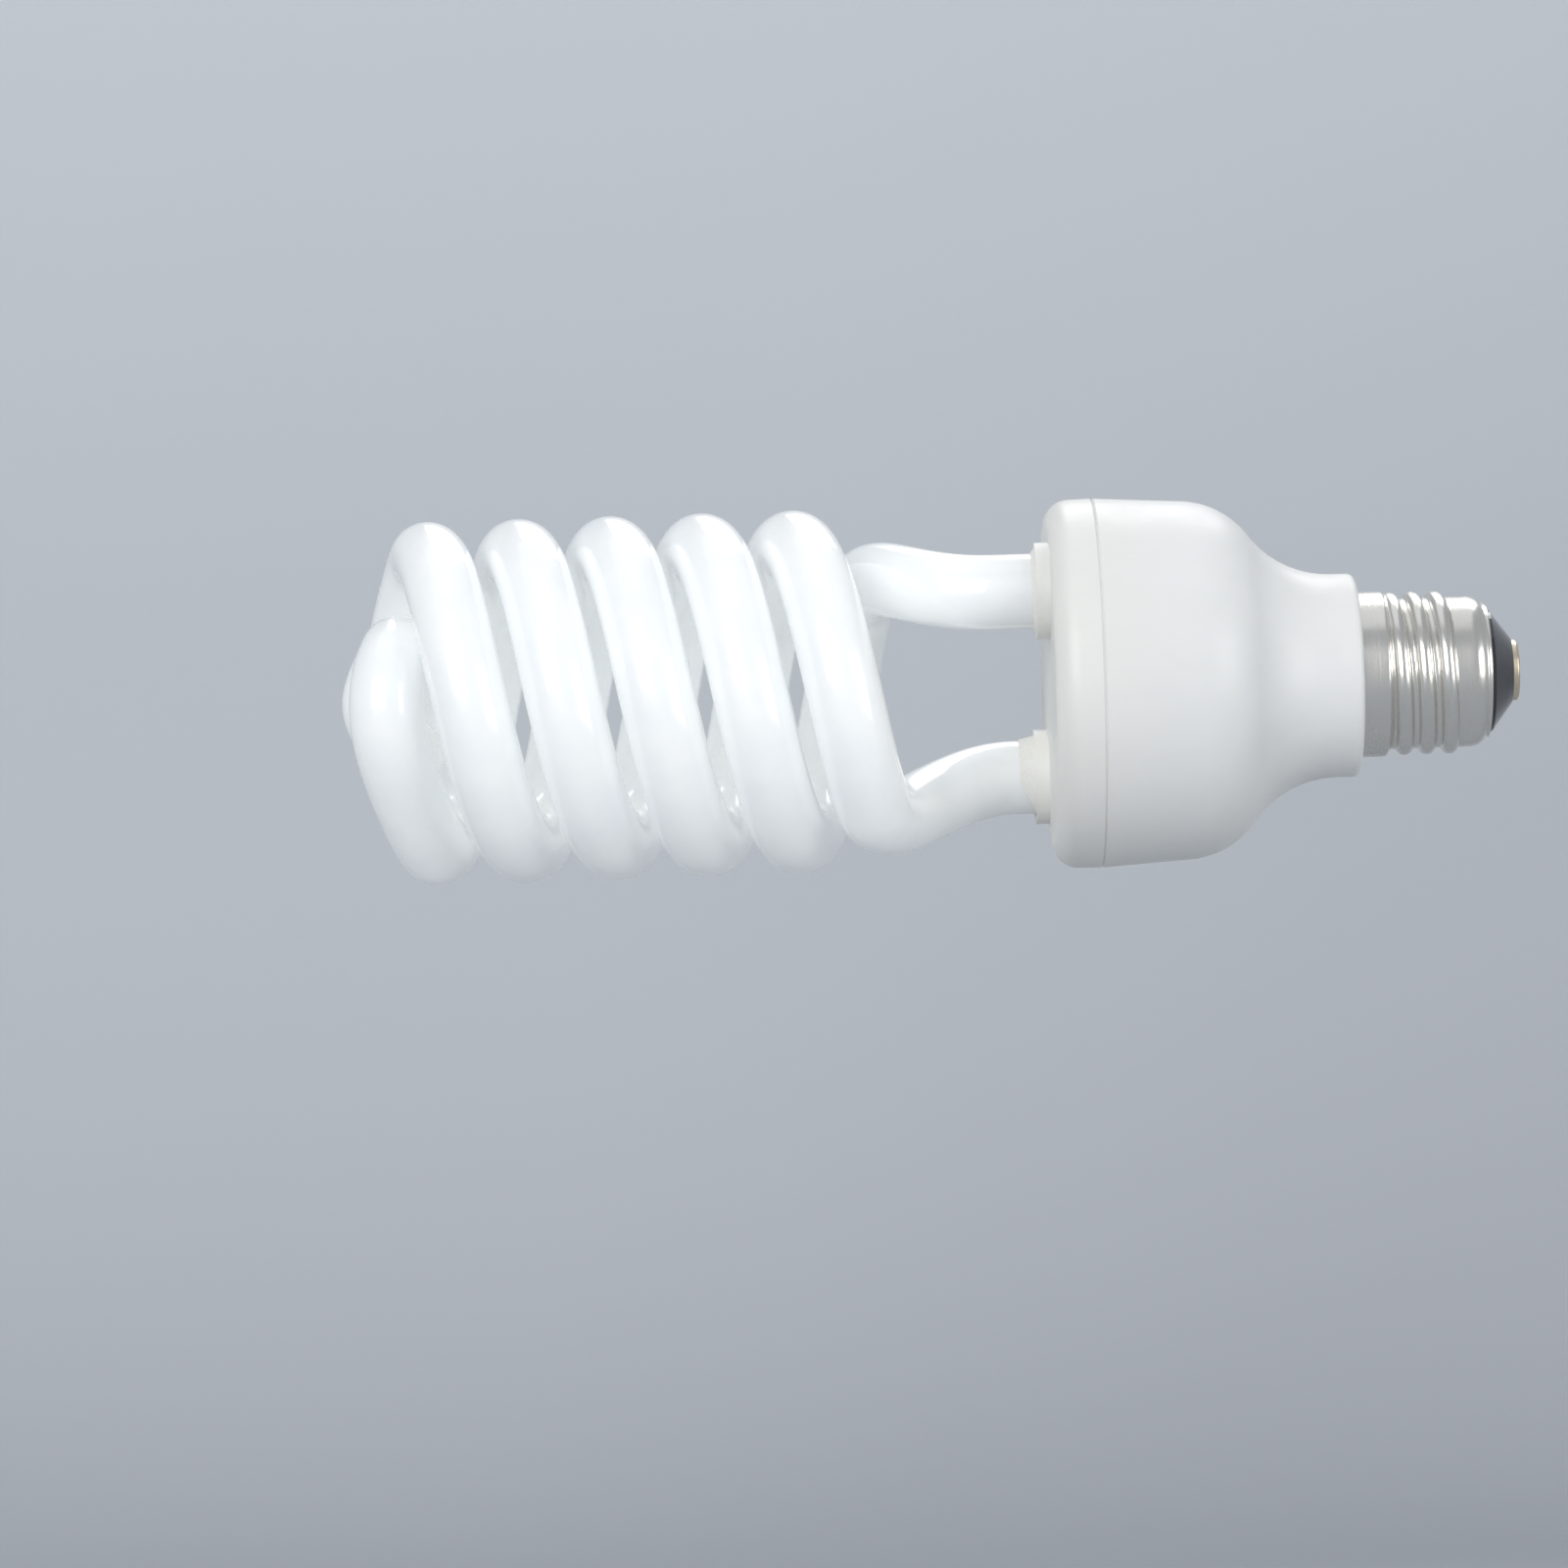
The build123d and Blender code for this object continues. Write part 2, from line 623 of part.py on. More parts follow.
def switching_transistors():
    """The two flat power transistors, each on three legs."""
    pair = []
    for side in (-1, 1):
        x, y = TRANSISTOR_AT[0], side * TRANSISTOR_AT[1]
        body = hung(TRANSISTOR_SIZE, (x, y), TRANSISTOR_LEG)
        for step in (-1, 0, 1):
            body += hung((LEAD_D, LEAD_D, TRANSISTOR_LEG), (x + step * TRANSISTOR_LEG_STEP, y))
        pair.append(body)
    return Compound(pair)


def dipped_capacitor(size, at, edge):
    """A dipped film capacitor: a block with rounded upright edges."""
    body = hung(size, at)
    return fillet(body.edges().filter_by(Axis.Z), edge)


def film_capacitors():
    """The two film capacitors beside the choke."""
    x, y = FILM_AT
    return Compound([dipped_capacitor(FILM_SIZE, (x, side * y), FILM_EDGE) for side in (-1, 1)])


def axial_part(radius, length):
    """A round body that lies along y at the origin, with its two leads turned up to the board."""
    run = length + 3 * LEAD_D
    body = Rot(90, 0, 0) * Cylinder(radius, length)
    body += Rot(90, 0, 0) * Cylinder(LEAD_D / 2, run)
    for side in (-1, 1):
        body += upright(LEAD_D / 2, 0, radius + LEAD_RISE, (0, side * (run - LEAD_D) / 2))
    return body


def rectifier_diodes():
    """The four mains diodes, two on each side of the board's edge."""
    bodies = []
    for x, y in DIODE_AT:
        for side in (-1, 1):
            place = Pos(x, side * y, -DIODE_D / 2 - LEAD_RISE)
            bodies.append(place * axial_part(DIODE_D / 2, DIODE_LENGTH))
    return Compound(bodies)


def fusible_resistor():
    """The resistor that the mains comes in through."""
    return Pos(*FUSE_AT, -FUSE_D / 2 - LEAD_RISE) * axial_part(FUSE_D / 2, FUSE_LENGTH)


def thermistor():
    """The start thermistor: a disc on edge with two leads."""
    x, y = THERMISTOR_AT
    centre = -THERMISTOR_D / 2 - LEAD_RISE
    disc = Pos(x, y, centre) * Rot(90, 0, 0) * Cylinder(THERMISTOR_D / 2, THERMISTOR_THICKNESS)
    for side in (-1, 1):
        disc += upright(LEAD_D / 2, centre, 0, (x + side * THERMISTOR_D / 4, y))
    return disc


def filter_inductor():
    """The sleeved drum choke in the mains feed."""
    body = upright(INDUCTOR_D / 2, -INDUCTOR_HEIGHT, 0, INDUCTOR_AT)
    return fillet(body.edges().group_by(Axis.Z)[0], INDUCTOR_EDGE)


def filament_places():
    """The four places where a filament lead leaves the glass, square to each leg's radius."""
    places = []
    for index in range(2):
        x, y = leg_place(index)
        across = Vector(-y, x, 0).normalized() * FILAMENT_SPREAD
        places += [(x + side * across.X, y + side * across.Y) for side in (-1, 1)]
    return places


def wrap_pins():
    """The four square pins on the board that the filament leads are tied to."""
    size = (PIN_SIZE, PIN_SIZE, NIPPLE_CLEAR - PIN_BELOW_NIPPLE)
    return Compound([block(size, place, board_top) for place in filament_places()])


def filament_leads():
    """The four wires from the sealed tube ends down to the pins."""
    pin_top = nipple_end - PIN_BELOW_NIPPLE
    return Compound([upright(LEAD_D / 2, pin_top, seal_end, place) for place in filament_places()])


def wire(points):
    """A round lead along straight runs joined by tangent arcs."""
    path = FilletPolyline(*points, radius=WIRE_BEND)
    section = Plane(origin=path @ 0, z_dir=path % 0) * Circle(SUPPLY_WIRE_D / 2)
    return sweep(section, path=path)


def live_wire():
    """The lead from the contact's rivet up the neck to the board."""
    x = SUPPLY_WIRE_SIDE
    y = SUPPLY_WIRE_D / 2 + SUPPLY_WIRE_CLEAR - cap_spigot_bore
    foot = shell_rim + INSULATOR_PLUG
    turn_low = (foot + cap_top) / 2
    turn_high = board_seat - CAPACITOR_LENGTH * board_scale
    return wire([(0, 0, foot), (0, 0, turn_low), (x, y, turn_high), (x, y, board_seat)])


def neutral_wire():
    """The lead from the board down past the spigot to the shell's inner wall."""
    x = SUPPLY_WIRE_SIDE
    y = cap_spigot_bore - SUPPLY_WIRE_D / 2 - SUPPLY_WIRE_CLEAR
    reach = root_r - SHELL_THICKNESS - SUPPLY_WIRE_D / 2 - SEAT_GAP
    far = sqrt(reach ** 2 - x ** 2)
    bend_top = cap_top - CAP_SPIGOT_LENGTH / 2
    bend_foot = cap_top - CAP_SPIGOT_LENGTH - 3 * SUPPLY_WIRE_D
    end = (root_foot + bend_foot) / 2
    return wire([(x, y, board_seat), (x, y, bend_top), (x, far, bend_foot), (x, far, end)])


os.makedirs("parts", exist_ok=True)
save(discharge_tube(), "discharge_tube")
save(cover(), "cover")
save(leg_cement(1, UPPER_BEAD), "upper_leg_cement")
save(lower_leg_cement(), "lower_leg_cement")
save(ballast_housing(), "ballast_housing")
save(screw_shell(), "screw_shell")
save(insulator(), "insulator")
save(end_contact(), "end_contact")
save(circuit_board(), "circuit_board")
save_on_board(smoothing_capacitor(), "smoothing_capacitor")
save_on_board(choke_core(), "choke_core")
save_on_board(choke_bobbin(), "choke_bobbin")
save_on_board(choke_winding(), "choke_winding")
save_on_board(driver_toroid(), "driver_toroid")
save_on_board(toroid_windings(), "toroid_windings")
save_on_board(switching_transistors(), "switching_transistors")
save_on_board(film_capacitors(), "film_capacitors")
save_on_board(dipped_capacitor(RESONANT_SIZE, RESONANT_AT, RESONANT_EDGE), "resonant_capacitor")
save_on_board(rectifier_diodes(), "rectifier_diodes")
save_on_board(fusible_resistor(), "fusible_resistor")
save_on_board(thermistor(), "thermistor")
save_on_board(filter_inductor(), "filter_inductor")
save(wrap_pins(), "wrap_pins")
save(filament_leads(), "filament_leads")
save(live_wire(), "live_wire")
save(neutral_wire(), "neutral_wire")
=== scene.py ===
import math

import bpy
from mathutils import Matrix, Vector


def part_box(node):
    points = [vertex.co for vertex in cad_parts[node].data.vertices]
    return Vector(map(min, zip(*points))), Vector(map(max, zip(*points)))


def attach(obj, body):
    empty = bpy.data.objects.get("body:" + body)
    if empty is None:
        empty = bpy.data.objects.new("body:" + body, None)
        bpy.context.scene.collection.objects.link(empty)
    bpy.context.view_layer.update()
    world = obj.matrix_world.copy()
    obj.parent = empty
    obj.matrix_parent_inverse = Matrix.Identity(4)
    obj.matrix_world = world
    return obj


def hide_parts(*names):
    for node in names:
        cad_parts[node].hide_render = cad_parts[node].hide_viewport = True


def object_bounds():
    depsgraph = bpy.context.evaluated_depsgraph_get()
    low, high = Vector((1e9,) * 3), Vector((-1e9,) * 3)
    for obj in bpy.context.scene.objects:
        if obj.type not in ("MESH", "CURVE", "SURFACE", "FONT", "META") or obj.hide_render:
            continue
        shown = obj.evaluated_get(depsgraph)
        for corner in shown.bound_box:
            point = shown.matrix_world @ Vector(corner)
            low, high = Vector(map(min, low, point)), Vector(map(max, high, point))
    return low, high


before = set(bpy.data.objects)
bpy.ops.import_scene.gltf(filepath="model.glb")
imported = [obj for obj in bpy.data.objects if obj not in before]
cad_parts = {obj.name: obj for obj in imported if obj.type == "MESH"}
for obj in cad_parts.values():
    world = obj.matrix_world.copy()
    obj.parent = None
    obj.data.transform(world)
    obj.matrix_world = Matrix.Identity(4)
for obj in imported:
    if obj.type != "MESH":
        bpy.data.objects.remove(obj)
cad_low, cad_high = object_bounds()

# The lamp's frame is the row's: the axis is X with the cap toward +X, Z is up and -Y faces the camera.
# Lengths are in metres and angles in degrees.
MM = 0.001

# Discharge tube, the same driving sizes as the solid's
TUBE_R = 6.0 * MM
COIL_R = 23.4 * MM
STRAND_PITCH = 29.47 * MM
TIP_TO_COIL = 8.72 * MM
COIL_PHASE = 4.3
TIP_ANGLE = 185.6
TIP_HANDLE = 7.02 * MM
COIL_HANDLE = 9.454 * MM
LEG_R = 19.0 * MM
LEG_ANGLE = 934.5
TIP_TO_COVER = 108.0 * MM
LOWER_LEG = {"leaves": 857.3, "handles": (11.4 * MM, 12.0 * MM), "bend": 5.6 * MM}
UPPER_LEG = {"leaves": 840.6, "handles": (11.8 * MM, 16.0 * MM), "bend": 9.1 * MM}
SEAL_R = 3.4 * MM
NIPPLE_R = 1.7 * MM
SEAL_TAPER = 2.4 * MM
NIPPLE_LENGTH = 5.0 * MM
LEG_END_DEPTH = 8.0 * MM
# The points that pull the bridge round: reach over COIL_R, angle on the coil, drop over TIP_TO_COIL
BRIDGE_KNEES = (
    (0.94, 199.6, 1.83),
    (1.408, 268.7, -1.012),
    (0.836, 269.0, 0.355),
)
TUBE_SIDES = 52
COIL_STEPS_PER_TURN = 96
BRIDGE_STEPS = 72
BEND_STEPS = 40
LEG_END_STEPS = 4

# Screw shell, the same sizes as the solid's; heights are above the end contact's face
SHELL_RIM = 5.1 * MM
SHELL_FOOT = 8.1 * MM
SKIRT_FOOT = 21.9 * MM
SHELL_TOP = 26.0 * MM
SKIRT_R = 13.3 * MM
ROOT_R = 12.1 * MM
RIM_R = 9.1 * MM
SHELL_WALL = 0.4 * MM
CREST_R = 13.15 * MM
RIDGE_R = 1.466 * MM
THREAD_LOW = 9.55 * MM
THREAD_PITCH = 3.629 * MM
THREAD_TURNS = 3.3
THREAD_RUN_OUT = 0.16
ROLL_FILLET = 0.35 * MM
SHELL_SIDES = 160
SHELL_ROW = 0.15 * MM
RIM_STEPS = 12

# Camera, from the photo: the focal length and the tip's place are in its 1601 pixel frame
PHOTO_PIXELS = 1601
FOCAL_PIXELS = 6462.8
TIP_PIXEL = (387.1, 720.5)
CAMERA_DISTANCE = 1.021
CAMERA_ROLL = 1.8
CAMERA_YAW = 0.12
SENSOR_WIDTH = 36.0

# Stage
FLOOR_Z = -0.17
WALL_Y = 0.42
COVE_R = 0.2
STAGE_HALF_WIDTH = 3.0
STAGE_FRONT = -3.0
WALL_TOP = 0.4
# The wall's painted light, paler higher up, and its painted shade, darker toward +X
WALL_PAINTED_LIGHT_Z = 0.17
WALL_PAINTED_SHADE_X = (-0.12, 0.2)
WALL_FADE_Z = (0.2, 0.36)
STAGE_FADE = (1.0, 2.8)
COVE_STEPS = 12
FLOOR_TONE = (0.44, 0.46, 0.485)
WALL_TONE = (0.58, 0.605, 0.635)

# Light: each box has its place, its side and its watts
SOFTBOXES = {
    "top_box": ((-0.3, 0.05, 1.6), 1.4, 2.5),
    "front_box": ((-1.2, -2.5, 0.9), 2.0, 44.0),
    "side_box": ((2.2, -1.6, 0.5), 1.6, 22.0),
    "back_box": ((0.3, 2.2, 2.2), 2.0, 33.0),
}
ROOM_TONE = (0.56, 0.59, 0.63)
ROOM_STRENGTH = 0.75

# Changes along the lamp, distances before and behind the cover's face: painted shade greying the tube's leg
# ends, and yellowing of the plastic
GREY_FROM = 14.0 * MM
GREY_TO = 1.0 * MM
YELLOW_FROM = 1.0 * MM
YELLOW_TO = 20.0 * MM
GLOW = 0.18
GLOW_AT_LEG_ENDS = 0.05
GLOW_TONE = (0.955, 0.985, 1.0)

tube_tip_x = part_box("discharge_tube")[0][0] + TUBE_R
cover_face_x = tube_tip_x + TIP_TO_COVER


def new_material(name):
    """A node material, with its tree, its Principled shader and the object-space position."""
    material = bpy.data.materials.new(name)
    material.use_nodes = True
    tree = material.node_tree
    place = tree.nodes.new("ShaderNodeTexCoord")
    return material, tree, tree.nodes["Principled BSDF"], place.outputs["Object"]


def link(tree, source, target):
    tree.links.new(source, target)


def set_sockets(node, **values):
    """Sets the sockets that are the same all over; coat_ior=1.5 sets Coat IOR."""
    for name, value in values.items():
        node.inputs[name.replace("_", " ").title().replace("Ior", "IOR")].default_value = value


def noise_field(tree, place, scale, detail=4.0, roughness=0.55, stretch=None):
    """A noise value over the surface, finer with a larger scale; stretch scales each axis."""
    node = tree.nodes.new("ShaderNodeTexNoise")
    set_sockets(node, scale=scale, detail=detail, roughness=roughness)
    if stretch:
        mapping = tree.nodes.new("ShaderNodeMapping")
        mapping.inputs["Scale"].default_value = stretch
        link(tree, place, mapping.inputs["Vector"])
        place = mapping.outputs["Vector"]
    link(tree, place, node.inputs["Vector"])
    return node.outputs["Fac"]


def cells(tree, place, scale):
    """Distance to the nearest cell point, for grains and bubbles."""
    node = tree.nodes.new("ShaderNodeTexVoronoi")
    node.inputs["Scale"].default_value = scale
    link(tree, place, node.inputs["Vector"])
    return node.outputs["Distance"]


def remap(tree, value, before, after=(0.0, 1.0)):
    """A value moved from one range to another, clamped."""
    node = tree.nodes.new("ShaderNodeMapRange")
    set_sockets(node, from_min=before[0], from_max=before[1], to_min=after[0], to_max=after[1])
    link(tree, value, node.inputs["Value"])
    return node.outputs["Result"]


def maths(tree, operation, first, second):
    """One arithmetic step; either side may be a number."""
    node = tree.nodes.new("ShaderNodeMath")
    node.operation = operation
    for socket, side in zip(node.inputs, (first, second)):
        if isinstance(side, (int, float)):
            socket.default_value = side
        else:
            link(tree, side, socket)
    return node.outputs["Value"]


def blend_colours(tree, factor, first, second):
    """Two colours mixed by a value; either may be a socket."""
    node = tree.nodes.new("ShaderNodeMix")
    node.data_type = "RGBA"
    link(tree, factor, node.inputs["Factor"])
    for socket, colour in ((node.inputs[6], first), (node.inputs[7], second)):
        if isinstance(colour, tuple):
            socket.default_value = (*colour, 1.0)
        else:
            link(tree, colour, socket)
    return node.outputs[2]


def axis_value(tree, place, axis):
    """One coordinate of the position."""
    node = tree.nodes.new("ShaderNodeSeparateXYZ")
    link(tree, place, node.inputs["Vector"])
    return node.outputs[axis]


def bump(tree, shader, height, strength, distance):
    """Relief on the shader's normal; a second relief is stacked on the first."""
    node = tree.nodes.new("ShaderNodeBump")
    set_sockets(node, strength=strength, distance=distance)
    link(tree, height, node.inputs["Height"])
    if shader.inputs["Normal"].links:
        link(tree, shader.inputs["Normal"].links[0].from_socket, node.inputs["Normal"])
    link(tree, node.outputs["Normal"], shader.inputs["Normal"])


def lit_glass():
    """Phosphor-coated glass, lit: white powder inside a clear gloss wall, with painted shade making the leg
    ends greyer, where the glow is also lower.
    """
    material, tree, shader, place = new_material("lit_glass")
    powder = noise_field(tree, place, scale=900.0, detail=3.0)
    streaks = noise_field(tree, place, scale=90.0, roughness=0.6)
    end = remap(tree, axis_value(tree, place, "X"), (cover_face_x - GREY_FROM, cover_face_x - GREY_TO))
    tone = blend_colours(tree, remap(tree, streaks, (0.35, 0.7)), (0.80, 0.82, 0.83), (0.85, 0.86, 0.85))
    # Painted shade: the base colour greyer toward the cover's face
    tone = blend_colours(tree, maths(tree, "MULTIPLY", end, 0.6), tone, (0.72, 0.73, 0.72))
    link(tree, tone, shader.inputs["Base Color"])
    unevenness = remap(tree, streaks, (0.3, 0.7), (0.96, 1.04))
    glow = remap(tree, end, (0.0, 1.0), (GLOW, GLOW_AT_LEG_ENDS))
    link(tree, maths(tree, "MULTIPLY", unevenness, glow), shader.inputs["Emission Strength"])
    shader.inputs["Emission Color"].default_value = (*GLOW_TONE, 1.0)
    set_sockets(shader, roughness=0.32, coat_weight=1.0, coat_roughness=0.02, coat_ior=1.5)
    bump(tree, shader, powder, strength=0.04, distance=0.05 * MM)
    return material


def white_plastic():
    """Moulded white plastic: fine spark-eroded grain, flow marks, and slight yellowing near the tube."""
    material, tree, shader, place = new_material("white_plastic")
    grain = noise_field(tree, place, scale=2600.0, detail=2.0)
    flow = noise_field(tree, place, scale=38.0, detail=5.0, roughness=0.6, stretch=(0.5, 1.0, 1.0))
    marks = noise_field(tree, place, scale=160.0, detail=6.0, roughness=0.7)
    tone = blend_colours(tree, remap(tree, flow, (0.3, 0.7)), (0.77, 0.77, 0.75), (0.82, 0.82, 0.81))
    near_tube = (cover_face_x - YELLOW_FROM, cover_face_x + YELLOW_TO)
    yellowing = remap(tree, axis_value(tree, place, "X"), near_tube, (0.35, 0.0))
    tone = blend_colours(tree, yellowing, tone, (0.83, 0.80, 0.72))
    link(tree, tone, shader.inputs["Base Color"])
    link(tree, remap(tree, marks, (0.35, 0.75), (0.34, 0.5)), shader.inputs["Roughness"])
    set_sockets(shader, subsurface_weight=0.12, subsurface_scale=2.0 * MM, subsurface_radius=(1.0, 0.8, 0.6))
    bump(tree, shader, grain, strength=0.12, distance=0.06 * MM)
    bump(tree, shader, flow, strength=0.06, distance=0.4 * MM)
    return material


def cement():
    """White lamp cement: sand grain and small bubbles, with painted shade darkening the bubbles."""
    material, tree, shader, place = new_material("cement")
    grain = noise_field(tree, place, scale=2400.0, roughness=0.7)
    pits = remap(tree, cells(tree, place, scale=2100.0), (0.02, 0.3))
    tone = blend_colours(tree, grain, (0.74, 0.73, 0.69), (0.88, 0.87, 0.83))
    # Painted shade: darker in the bubbles' pits
    tone = blend_colours(tree, pits, (0.66, 0.64, 0.59), tone)
    link(tree, tone, shader.inputs["Base Color"])
    set_sockets(shader, roughness=0.85)
    bump(tree, shader, grain, strength=0.5, distance=0.12 * MM)
    bump(tree, shader, pits, strength=0.4, distance=0.1 * MM)
    return material


def metal(name, colour, worn, roughness):
    """Plated sheet: fine rolling lines round the axis, and a few duller places."""
    material, tree, shader, place = new_material(name)
    lines = noise_field(tree, place, scale=30.0, detail=2.0, roughness=0.5, stretch=(110.0, 1.0, 1.0))
    patches = noise_field(tree, place, scale=90.0, roughness=0.6)
    tone = blend_colours(tree, remap(tree, patches, (0.45, 0.8), (0.0, 0.7)), colour, worn)
    link(tree, tone, shader.inputs["Base Color"])
    set_sockets(shader, metallic=1.0)
    brushed = remap(tree, lines, (0.3, 0.7), (roughness * 0.85, roughness * 1.1))
    dulled = remap(tree, patches, (0.4, 0.8), (0.0, 0.08))
    link(tree, maths(tree, "ADD", brushed, dulled), shader.inputs["Roughness"])
    bump(tree, shader, lines, strength=0.02, distance=0.01 * MM)
    return material


def plain_piece(name, dark, light, roughness, scale, relief=0.15):
    """A moulded, dipped or sintered surface with its own grain, for the parts on the board."""
    material, tree, shader, place = new_material(name)
    grain = noise_field(tree, place, scale, roughness=0.6)
    patches = noise_field(tree, place, scale / 12, roughness=0.6)
    link(tree, blend_colours(tree, patches, dark, light), shader.inputs["Base Color"])
    rough = remap(tree, grain, (0.3, 0.7), (roughness * 0.8, roughness * 1.2))
    link(tree, rough, shader.inputs["Roughness"])
    bump(tree, shader, grain, strength=relief, distance=0.08 * MM)
    return material


def copper_wire():
    """Enamelled copper, with the ridge of each turn, painted shade in the grooves between turns and a
    painted highlight on the ridges.
    """
    material, tree, shader, place = new_material("copper_wire")
    waves = tree.nodes.new("ShaderNodeTexWave")
    waves.bands_direction = "X"
    set_sockets(waves, scale=650.0, distortion=1.2)
    link(tree, place, waves.inputs["Vector"])
    ridges = waves.outputs["Fac"]
    # Painted shade and highlight: darker in the grooves, lighter on the ridges
    tone = blend_colours(tree, ridges, (0.30, 0.10, 0.04), (0.72, 0.33, 0.15))
    link(tree, tone, shader.inputs["Base Color"])
    set_sockets(shader, metallic=0.9, roughness=0.3)
    bump(tree, shader, ridges, strength=0.5, distance=0.15 * MM)
    return material


def black_glass():
    """The cap's black glass: fire-polished, with faint flow lines."""
    material, tree, shader, place = new_material("black_glass")
    flow = noise_field(tree, place, scale=300.0, detail=3.0, roughness=0.5, stretch=(0.4, 1.0, 1.0))
    tone = blend_colours(tree, flow, (0.012, 0.012, 0.014), (0.035, 0.035, 0.042))
    link(tree, tone, shader.inputs["Base Color"])
    set_sockets(shader, roughness=0.09, coat_weight=0.6, coat_roughness=0.03)
    bump(tree, shader, flow, strength=0.25, distance=0.3 * MM)
    return material


def bezier(points, steps):
    """Points along the smooth bend from the first point to the last, pulled by those between."""
    run = []
    for step in range(steps + 1):
        chain = list(points)
        while len(chain) > 1:
            chain = [near.lerp(far, step / steps) for near, far in zip(chain, chain[1:])]
        run.append(chain[0])
    return run


def round_coil(reach, angle, drop):
    """A point at a reach and an angle round the coil's axis, dropped from the tip."""
    turn = math.radians(angle + COIL_PHASE)
    return Vector((tube_tip_x + drop, -reach * math.sin(turn), reach * math.cos(turn)))


def coil_point(angle):
    """The strand's centreline on the coil, at an angle from its start near the tip."""
    return round_coil(COIL_R, angle, TIP_TO_COIL + STRAND_PITCH * angle / 360)


def coil_way(angle):
    """The strand's direction on the coil, toward the cap."""
    turn = math.radians(angle + COIL_PHASE)
    rise = STRAND_PITCH / (2 * math.pi)
    return Vector((rise, -COIL_R * math.cos(turn), -COIL_R * math.sin(turn))).normalized()


def strand_line(leg):
    """Centreline of one strand: from the tip over the bridge, down the coil and to the leg's seal."""
    peak = Vector((tube_tip_x, 0, 0))
    tip_handle = round_coil(TIP_HANDLE, TIP_ANGLE, 0)
    knees = [round_coil(COIL_R * reach, angle, TIP_TO_COIL * drop) for reach, angle, drop in BRIDGE_KNEES]
    start = coil_point(0)
    coil_handle = start - coil_way(0) * COIL_HANDLE
    line = bezier((peak, tip_handle, *knees, coil_handle, start), BRIDGE_STEPS)
    steps = round(COIL_STEPS_PER_TURN * leg["leaves"] / 360)
    line += [coil_point(leg["leaves"] * step / steps) for step in range(1, steps + 1)]
    leg_turn = math.radians(LEG_ANGLE + COIL_PHASE)
    elbow = Vector((cover_face_x - leg["bend"], -LEG_R * math.sin(leg_turn), LEG_R * math.cos(leg_turn)))
    down = Vector((1, 0, 0))
    first = line[-1] + coil_way(leg["leaves"]) * leg["handles"][0]
    line += bezier((line[-1], first, elbow - down * leg["handles"][1], elbow), BEND_STEPS)[1:]
    foot = Vector((cover_face_x + LEG_END_DEPTH, elbow.y, elbow.z))
    line += [elbow.lerp(foot, step / LEG_END_STEPS) for step in range(1, LEG_END_STEPS + 1)]
    return line


def sweep_rings(line, radii, sides):
    """Rings of points round a line, turned as little as possible from one to the next."""
    rings = []
    across = None
    for index, centre in enumerate(line):
        before = line[max(index - 1, 0)]
        after = line[min(index + 1, len(line) - 1)]
        way = (after - before).normalized()
        if across is None:
            across = way.orthogonal().normalized()
        across = (across - way * across.dot(way)).normalized()
        other = way.cross(across)
        ring = []
        for side in range(sides):
            turn = 2 * math.pi * side / sides
            ring.append(centre + (across * math.cos(turn) + other * math.sin(turn)) * radii[index])
        rings.append(ring)
    return rings


def mesh_of_rings(name, rings, material, closed=False):
    """A smooth mesh through rings of points, capped at both ends or closed into a loop."""
    sides = len(rings[0])
    points = [point for ring in rings for point in ring]
    faces = []
    spans = len(rings) if closed else len(rings) - 1
    for row in range(spans):
        low = row * sides
        high = ((row + 1) % len(rings)) * sides
        for side in range(sides):
            after = (side + 1) % sides
            faces.append((low + side, low + after, high + after, high + side))
    if not closed:
        faces.append(tuple(reversed(range(sides))))
        faces.append(tuple((len(rings) - 1) * sides + side for side in range(sides)))
    mesh = bpy.data.meshes.new(name)
    mesh.from_pydata(points, [], faces)
    mesh.validate()
    mesh.shade_smooth()
    mesh.materials.append(material)
    piece = bpy.data.objects.new(name, mesh)
    bpy.context.scene.collection.objects.link(piece)
    return piece


def glass_tube(material):
    """The whole tube, from one leg's nipple round the tip to the other's."""
    lower = strand_line(LOWER_LEG)
    upper = [Vector((p.x, -p.y, -p.z)) for p in strand_line(UPPER_LEG)]
    line = list(reversed(lower)) + upper[1:]
    radii = [TUBE_R] * len(line)
    seal_x = cover_face_x + LEG_END_DEPTH
    nipple_end = SEAL_TAPER + NIPPLE_LENGTH
    # Steps past the seal with the radius at each: the taper, the step down to the nipple and its rounded end
    nipple = (
        (SEAL_TAPER / 2, (TUBE_R + SEAL_R) / 2),
        (SEAL_TAPER, SEAL_R),
        (SEAL_TAPER * 1.05, NIPPLE_R),
        (nipple_end - NIPPLE_R, NIPPLE_R),
        (nipple_end, NIPPLE_R * 0.3),
    )
    for step, radius in nipple:
        line.append(Vector((seal_x + step, line[-1].y, line[-1].z)))
        line.insert(0, Vector((seal_x + step, line[0].y, line[0].z)))
        radii.append(radius)
        radii.insert(0, radius)
    piece = mesh_of_rings("lit_tube", sweep_rings(line, radii, TUBE_SIDES), material)
    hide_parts("discharge_tube")
    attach(piece, "root")


def eased(value):
    """A value between 0 and 1 with soft ends."""
    value = min(max(value, 0.0), 1.0)
    return value * value * (3 - 2 * value)


def barrel_radius(height):
    """The screw shell without its thread: rounded rim, barrel and wider skirt."""
    if height < SHELL_FOOT:
        curve = SHELL_FOOT - SHELL_RIM
        return RIM_R + math.sqrt(max(curve * curve - (SHELL_FOOT - height) ** 2, 0.0))
    step = SKIRT_R - ROOT_R
    return ROOT_R + step * eased((height - SKIRT_FOOT + step) / step)


